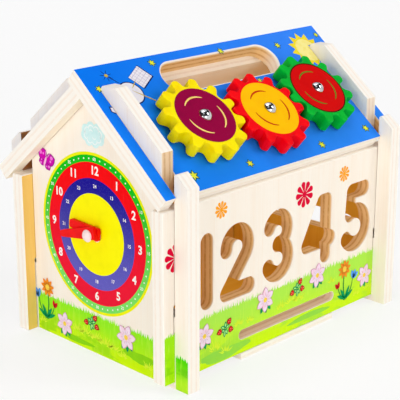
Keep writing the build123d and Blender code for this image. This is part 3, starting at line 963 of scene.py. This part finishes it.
def sprigs(name, places, place):
    """Sprigs with three strawberries; places holds (x, z, turn)."""
    leaves, middles, lines, berries, seeds = [], [], [], [], []
    for x, z, turn_by in places:
        for angle, reach in ((22, 4.0), (84, 4.4), (150, 4.2), (208, 3.6), (262, 5.4), (296, 4.6)):
            leaves.append(moved(petal(0.3, reach, 2.3), x, z, 1, turn_by + angle))
            middles.append(moved(petal(1.0, reach - 0.8, 1.1), x, z, 1, turn_by + angle))
        for angle in (turn_by + 48, turn_by + 190, turn_by + 340):
            lines.append(moved(petal(3.0, 7.4, 3.9, 0.42), x, z, 1, angle))
            berries.append(moved(petal(3.3, 7.0, 3.3, 0.42), x, z, 1, angle))
            for reach, aside in ((4.4, 6), (5.2, -6), (5.9, 4)):
                seeds.append(moved(circle(reach, 0, 0.26, 8), x, z, 1, angle + aside))
    prints(name, place, OVER_GRASS, [
        ("leaves", leaves, leaf_ink, 0), ("middles", middles, leaf_pale_ink, 1),
        ("berry_lines", lines, berry_line_ink, 2), ("berries", berries, berry_ink, 3),
        ("seeds", seeds, seed_ink, 4),
    ])


WALL_FLOWERS = [(-73, 25, 7.4, 12), (-20.5, 32, 7.8, 28), (29, 34, 7.8, 20), (78.4, 20.6, 7.6, 8)]
flowers("wall_flower", WALL_FLOWERS, on_wall)
sprigs("wall_sprig", [(-55.5, 24.3, 0), (9.4, 30.6, 8)], on_wall)
flowers("gable_flower", [(-30.2, 10.8, 7.6, 24), (26.0, 19.2, 8.0, 10)], on_gable)
sprigs("gable_sprig", [(-4.6, 19.2, 0)], on_gable)

# %% [markdown]
# ## A garden plant
# Near the corner of the numbers wall and of the clock gable a taller plant rises from the grass:
# an orange bloom, a blue bell and a red bud on thin stems. It is drawn in the same way as the
# flowers, from petals. The mirrored plant on the gable comes from the same function.

# %% Plants
stem_ink = ink("stem_ink", (24, 140, 60), (60, 160, 70), 0.6, 0.6)
bell_ink = ink("bell_ink", (96, 168, 250), (70, 130, 230), 0.8, 0.5)
bloom_ink = ink("bloom_ink", (248, 150, 40), (232, 110, 40), 0.8, 0.5)


def stem(x, z, top_x, top_z, width, bow):
    """A thin bowed stem."""
    spine = []
    for share in [i / 8 for i in range(9)]:
        middle = x + (top_x - x) * share + bow * sin(pi * share)
        spine.append((middle, z + (top_z - z) * share, width / 2 * (1.1 - 0.5 * share)))
    return [(u - half, v) for u, v, half in spine] + [(u + half, v) for u, v, half in spine[::-1]]


def plant(name, x, z, side, place):
    """A plant with its foot at x, z, leaning to the side."""
    bloom_x, bell_x, bud_x = x - 1.5 * side, x + 7.7 * side, x - 7.7 * side
    bloom_z = z + 21.5
    stems = [
        stem(x, z, bloom_x, z + 19, 1.1, -1.2 * side),
        stem(x + side, z, x + 7.5 * side, z + 13, 0.9, 1.5 * side),
        stem(x - side, z, x - 7.5 * side, z + 10, 0.9, -1.0 * side),
    ]
    leaves = fan(petal(0, 9, 2.6), x, z + 1, 1, [90 + lean * side for lean in (-62, -28, 34, 66)])
    hang, rise = 90 - 22 * side, 90 + 14 * side
    bell = fan(petal(0, 1, 0.46, 0.62), bell_x, z + 12.6, 6.4, (hang - 34, hang, hang + 34))
    bud = fan(petal(0, 1, 0.5, 0.5), bud_x, z + 9.6, 5.0, (rise - 24, rise + 24))
    prints(name, place, OVER_GRASS, [
        ("stems", stems, stem_ink, 0), ("leaves", leaves, leaf_ink, 1),
        ("bloom", whorl(petal(0.12, 1, 0.42), 9, bloom_x, bloom_z, 6.4, 10), bloom_ink, 2),
        ("bell", bell, bell_ink, 2), ("bud", bud, berry_ink, 2),
        ("heart", [circle(bloom_x, bloom_z, 2.0, 18)], heart_ink, 3),
    ])


plant("wall_plant", 58.5, 9.0, 1, on_wall)
plant("gable_plant", -47.5, 9.0, -1, on_gable)

# %% [markdown]
# ## Cloud and butterfly over the clock
# A pale cloud floats under the point of the gable, and a purple butterfly sits beside the dial.
# The cloud is the outer edge of a few puffs, with paler curls. The butterfly is four drops with
# pale spots and a pale body. The large wings lie over the small ones, a layer higher.

# %% Cloud
cloud_ink = ink("cloud_ink", (213, 243, 244), (198, 238, 240), 0.9, 0.3)
cloud_line_ink = ink("cloud_line_ink", (240, 252, 252), (230, 250, 250), 0.6, 0.4)
CLOUD_X, CLOUD_Z = 1.0, 136.4
puffs, curls = [], []
for i in range(8):
    angle = radians(45 * i + 15)
    x, z = 7.2 * cos(angle), 4.4 * sin(angle)
    puffs.append((x, z, 3.3))
    curl = stroke(2.2, 45 * i - 75, 45 * i + 105, 0.9)
    curls.append(moved(curl, CLOUD_X + 0.76 * x, CLOUD_Z + 0.76 * z))
curls.append(moved(stroke(1.7, 20, 160, 0.8), -0.6, 137.3))
curls.append(moved(stroke(1.5, 190, 330, 0.8), 2.2, 135.5))
cloud = moved(bubbles([(0, 0, 6)] + puffs), CLOUD_X, CLOUD_Z)
film("cloud", [cloud], on_gable, cloud_ink)
film("cloud_curls", curls, on_gable, cloud_line_ink, 1)

# %% Butterfly
wing_ink = ink("wing_ink", (206, 0, 176), (184, 0, 156), 0.7, 0.6)
wing_line_ink = ink("wing_line_ink", (140, 0, 130), (110, 0, 110), 0.5, 0.6)
spot_ink = ink("spot_ink", (240, 120, 224), (250, 170, 234), 0.5, 0.6)
body_ink = ink("body_ink", (246, 186, 226), (236, 160, 214), 0.5, 0.6)
SEAT = (-43.2, 112.6, 1)
LEAN = -24
lines, wings, spots = [], [], []
for angle, reach, width in ((40, 9.4, 8.2), (146, 9.4, 8.2), (-30, 6.6, 5.8), (214, 6.6, 5.8)):
    lines.append(moved(petal(0.2, reach, width, 0.62), *SEAT, LEAN + angle))
    wings.append(moved(petal(0.8, reach - 0.6, width - 1.1, 0.62), *SEAT, LEAN + angle))
    for share, aside, radius in ((0.68, 0.9, 0.13), (0.5, -1.0, 0.08)):
        spot = circle(reach * share, aside, radius * reach, 14)
        spots.append(moved(spot, *SEAT, LEAN + angle))
trunk = [moved(petal(-4.2, 3.8, 1.7), *SEAT, LEAN + 90)]
trunk += fan(petal(3.0, 8.0, 0.45), *SEAT, (LEAN + 74, LEAN + 104))
prints("butterfly", on_gable, 0, [
    ("lines", lines[:2], wing_line_ink, 2), ("low_lines", lines[2:], wing_line_ink, 0),
    ("low_wings", wings[2:], wing_ink, 1), ("wings", wings[:2], wing_ink, 3),
    ("spots", spots, spot_ink, 4), ("body", trunk, body_ink, 5),
])

# %% [markdown]
# ## Stars and sun on the roof
# The sky carries small yellow stars and a sun with pointed rays. The roof lifts off, so these
# films ride on the roof's body. A gable's tab comes through a slot under the sun, so the sun is
# made of the parts beside, over and past the slot, or it would float over the hole. The back
# board isn't in the photograph; it gets a few stars of the same kind.

# %% Stars and sun
star_ink = ink("star_ink", (238, 236, 60), (206, 226, 50), 0.8, 0.8)
star_line_ink = ink("star_line_ink", (30, 96, 90), (20, 80, 120), 0.5, 0.8)
sun_ink = ink("sun_ink", (246, 224, 48), (236, 204, 30), 0.7, 0.3)
sun_disc_ink = ink("sun_disc_ink", (252, 238, 150), (246, 226, 100), 0.8, 0.25)
STARS = [
    (-48.7, 89.4, 2.5), (9.6, 88.3, 2.3), (60.2, 84.2, 2.4), (-97.2, 78.6, 2.4), (-75.7, 10.1, 3.2),
    (-31.4, 7.5, 2.5), (33.0, 6.0, 2.6), (79.6, 8.5, 2.6), (101.8, 86.6, 2.0), (23.0, 61.0, 2.0),
]
BACK_STARS = [
    (-80, 68, 2.6), (-46, 52, 2.3), (-12, 72, 2.5), (22, 58, 2.2), (58, 71, 2.6), (-64, 24, 2.4),
    (-20, 34, 2.6), (10, 14, 2.3), (44, 30, 2.5), (78, 14, 2.4), (78, 44, 2.2),
]
SUN = (83.6, 76.0)
SLOT_START, SLOT_END, SLOT_TOP = 86.9, 97.2, 79.5


def stars(name, places, place, turn_by):
    """Yellow stars with a dark line; places holds (x, up, radius)."""
    sizes = (("_lines", 1.28, 0.74, star_line_ink), ("s", 1.0, 0.42, star_ink))
    for layer, (part, outer, inner, finish) in enumerate(sizes):
        shape = star(6, outer, inner)
        shapes = [moved(shape, x, s, r, turn_by * i) for i, (x, s, r) in enumerate(places)]
        film(name + part, shapes, place, finish, layer, "roof")


def round_slot(outline):
    """What the tab's slot leaves of a print: the parts beside, over and past it."""
    turned = [(s, x) for x, s in cut(outline, SLOT_START)]
    over = [(x, s) for s, x in cut(turned, SLOT_TOP)]
    past = cut([(x, s) for s, x in cut(turned, SLOT_TOP, False)], SLOT_END)
    return [part for part in (cut(outline, SLOT_START, False), over, past) if len(part) > 2]


stars("star", STARS, on_roof, 11)
stars("back_star", BACK_STARS, on_back_roof, 17)
rays = moved(star(12, 15.2, 10.6), *SUN)
film("sun_rays", round_slot(rays), on_roof, sun_ink, 0, "roof")
film("sun_middle", round_slot(circle(*SUN, 9.4)), on_roof, sun_disc_ink, 1, "roof")

# %% [markdown]
# ## A satellite beside the gears
# A satellite with one panel flies over the left part of the roof, and the gable's tab partly
# covers it. Its round tank and its foot are cut where that tab's slot begins. The panel's grid
# is thin bars laid on the sheet.

# %% Satellite
panel_ink = ink("panel_ink", (238, 234, 242), (226, 220, 234), 0.7, 0.5)
panel_line_ink = ink("panel_line_ink", (14, 40, 110), (10, 30, 90), 0.5, 0.5)
grid_ink = ink("grid_ink", (206, 196, 216), (196, 188, 210), 0.5, 0.5)
gold_ink = ink("gold_ink", (206, 180, 60), (160, 130, 60), 0.6, 0.7)
PANEL = (-63.9, 81.2, 1, 31)
TANK = (-77.6, 71.6)
AERIAL = (-86.6, 86.6)


def panel_box(x, s, width, height):
    """A rectangle on the panel, round its middle."""
    half_x, half_s = width / 2, height / 2
    corners = [(x - half_x, s - half_s), (x + half_x, s - half_s), (x + half_x, s + half_s)]
    return moved(corners + [(x - half_x, s + half_s)], *PANEL)


def tank(radius):
    """The round tank as far as the slot on its left."""
    return cut(circle(*TANK, radius), -86.9)


foot_line = cut([(-98.9, 66.0), (-94, 64.4), (-94, 56.6), (-99.8, 62.2)], -97.3, False)
foot_sheet = cut([(-98.5, 65.0), (-94, 63.4), (-94, 58.2), (-99.1, 62.3)], -97.3, False)
grid = [panel_box(2.6 * i - 5.2, 0, 0.3, 10.2) for i in range(5)]
grid += [panel_box(0, 2.5 * i - 3.75, 12.6, 0.3) for i in range(4)]
rods = [moved(petal(-1, 22, 0.7), -75.6, 72.6, 1, -42)]
rods.append(moved(petal(-1, 7, 0.6), -74.4, 75.0, 1, 40))
aerial = whorl(petal(0.6, 4.4, 0.35), 7, *AERIAL, 1.0, 10)
aerial.append(moved(petal(0, 9.6, 0.5), *AERIAL, 1, -52))
prints("satellite", on_roof, 0, [
    ("frame", [panel_box(0.3, -0.3, 14.2, 11.6), tank(8.4), foot_line], panel_line_ink, 0),
    ("sheet", [panel_box(0, 0, 13.2, 10.6), tank(7.6), foot_sheet], panel_ink, 1),
    ("grid", grid, grid_ink, 2), ("rods", rods, gold_ink, 2), ("aerial", aerial, panel_line_ink, 0),
    ("lamp", [circle(*AERIAL, 1.2, 18)], gold_ink, 1),
], "roof")

# %% [markdown]
# ## Printed discs on the gears
# Each gear has a round print with three curved strokes that show the turning, and the green
# gear's print has a dark rim. It has a hole where the bolt's dome sits. It lies on the gear's
# own face, whose height is measured from the solid, and it rides on the gear, so it turns.


# %% Gear discs
def on_gear(tone):
    """The places on a gear's face, counted from its bolt."""
    solid = frame["nodes"]["gear_" + tone].data
    top = (max(roof_out.dot(v.co) for v in solid.vertices) - roof_out.dot(eave)) / MM
    bolt = (Vector(joints[tone + "_gear_spin"]["pos_m"]) - eave) / MM
    print(tone, "gear top", round(top, 2), "mm above the roof")
    return lambda x, up, lift: on_roof(bolt.x + x, bolt.dot(roof_up) + up, top + lift)


GEAR_PRINTS = [
    ("yellow", ("disc_wine", (150, 0, 62), (134, 0, 58), 0.6),
     ("strokes_cream", (255, 226, 130), (240, 190, 90), 0.6)),
    ("red", ("disc_amber", (255, 194, 0), (255, 182, 0), 0.6),
     ("strokes_red", (200, 44, 8), (180, 30, 8), 0.6)),
    ("green", ("disc_scarlet", (214, 4, 4), (202, 0, 6), 0.6),
     ("strokes_green", (110, 130, 30), (30, 90, 30), 0.7)),
]
rim_ink = ink("rim_ink", (70, 14, 6), (50, 30, 6), 0.6)
strokes = whorl(stroke(13.2, -38, 38, 1.15), 3, 0, 0, 1, 100)
for tone, disc_tones, stroke_tones in GEAR_PRINTS:
    place, body = on_gear(tone), tone + "_gear"
    film("disc_" + tone, [ring(19.8, 4.08, 72)], place, ink(*disc_tones), 0, body)
    if tone == "green":
        film("rim_" + tone, [ring(20.2, 19.4, 72)], place, rim_ink, 1, body)
    film("strokes_" + tone, strokes, place, ink(*stroke_tones), 1, body)

# %% [markdown]
# ## The table
# The toy stands on a plain white table in a bright studio. The camera sees the table as bright
# as the background, apart from the toy's shadow. All other rays see pale card that also glows a
# little, a painted bounce light which softens the undersides as a real white table does.

# %% Table
# Painted bounce light: the table's glow for all rays but the camera's.
BOUNCE_GLOW = 0.16
SEEN_GLOW = 0.7
finish, place, normal = new_finish("studio_floor_white")
light_path = finish.node_tree.nodes.new("ShaderNodeLightPath").outputs
seen = Wire(light_path["Is Camera Ray"])
grey = mixed(noise(place, 0.3), tint(150, 150, 150), tint(147, 147, 147))
filled(finish, mixed(seen, tint(234, 231, 225), grey), 0.9, 0.1)
shader_inputs(finish)["Emission Color"].default_value = (1, 1, 1, 1)
feed(shader_inputs(finish)["Emission Strength"], seen * (SEEN_GLOW - BOUNCE_GLOW) + BOUNCE_GLOW)
corners = [(-3, -3, 0), (3, -3, 0), (3, 3, 0), (-3, 3, 0)]
sheet("studio_floor", corners, [(0, 1, 2, 3)], finish)

# %% [markdown]
# ## Background and sky
# The background is white for the camera only, so it doesn't add light to the toy: what lights
# the toy is a plain even sky at less than half of white. Polished metal shows whatever is round
# it: in a studio the pale backdrop low down, and a dark ceiling with bright soft boxes above.

# %% Sky
SKY_LEVEL = 0.42
DARK_LEVEL = 0.03
SOFT_BOXES = [
    ((0.25, 0.35, 0.9), 0.86, 0.93), ((0.97, -0.2, 0.12), 0.9, 0.95),
    ((-0.45, -0.3, 0.84), 0.975, 0.99),
]
world = bpy.data.worlds.new("studio_sky")
bpy.context.scene.world = world
world.use_nodes = True
sky_nodes = world.node_tree.nodes
direction = Wire(sky_nodes.new("ShaderNodeTexCoord").outputs["Generated"])
bright = step(direction.parts()[2], 0.45, 0.25)
for aim, far, near in SOFT_BOXES:
    bright = bright.most(step(direction.along(Vector(aim).normalized()), far, near))
mirrored = bright * (1.0 - DARK_LEVEL) + DARK_LEVEL
light_path = sky_nodes.new("ShaderNodeLightPath").outputs
shown = Wire(light_path["Is Camera Ray"]).most(Wire(light_path["Is Transmission Ray"]))
even = shown * (1.0 - SKY_LEVEL) + SKY_LEVEL
sky_light = sky_nodes["Background"].inputs
feed(sky_light["Strength"], Wire(light_path["Is Glossy Ray"]) * (mirrored - SKY_LEVEL) + even)
sky_light["Color"].default_value = (1, 1, 1, 1)
print("sky level", SKY_LEVEL, "soft boxes in the mirrors", len(SOFT_BOXES))

# %% [markdown]
# ## Lamps
# A lamp's strength is given as the share of white that it alone gives a white card facing it.
# Lamps and sky add up to about one, so each colour comes out about as it was written. A small
# lamp inside the house stands for the light that finds its way in through the numbers.

# %% Lamps
LAMPS = [
    ("key_lamp", (0.55, -0.8, 0.8), 26, 0.24), ("front_lamp", (-0.3, -0.95, 0.12), 22, 0.19),
    ("left_lamp", (-0.96, -0.22, 0.12), 35, 0.38), ("top_lamp", (-0.1, 0.2, 1.0), 30, 0.19),
]
for name, direction, softness, level in LAMPS:
    data = bpy.data.lights.new(name, "SUN")
    data.angle = radians(softness)
    data.energy = level * pi
    placed(name, data).rotation_euler = Vector(direction).to_track_quat("Z", "Y").to_euler()
    print(name, "from", direction, "gives", round(data.energy, 2), "W per square metre")
inner_data = bpy.data.lights.new("inner_fill", "POINT")
inner_data.energy = 0.034
inner_data.shadow_soft_size = 0.03
placed("inner_fill", inner_data).location = (0, 0, 0.085)

# %% [markdown]
# ## Finishing
# The picture keeps plain colours: no film look, no change of contrast.

# %% Finish
bpy.context.scene.view_settings.view_transform = "Standard"
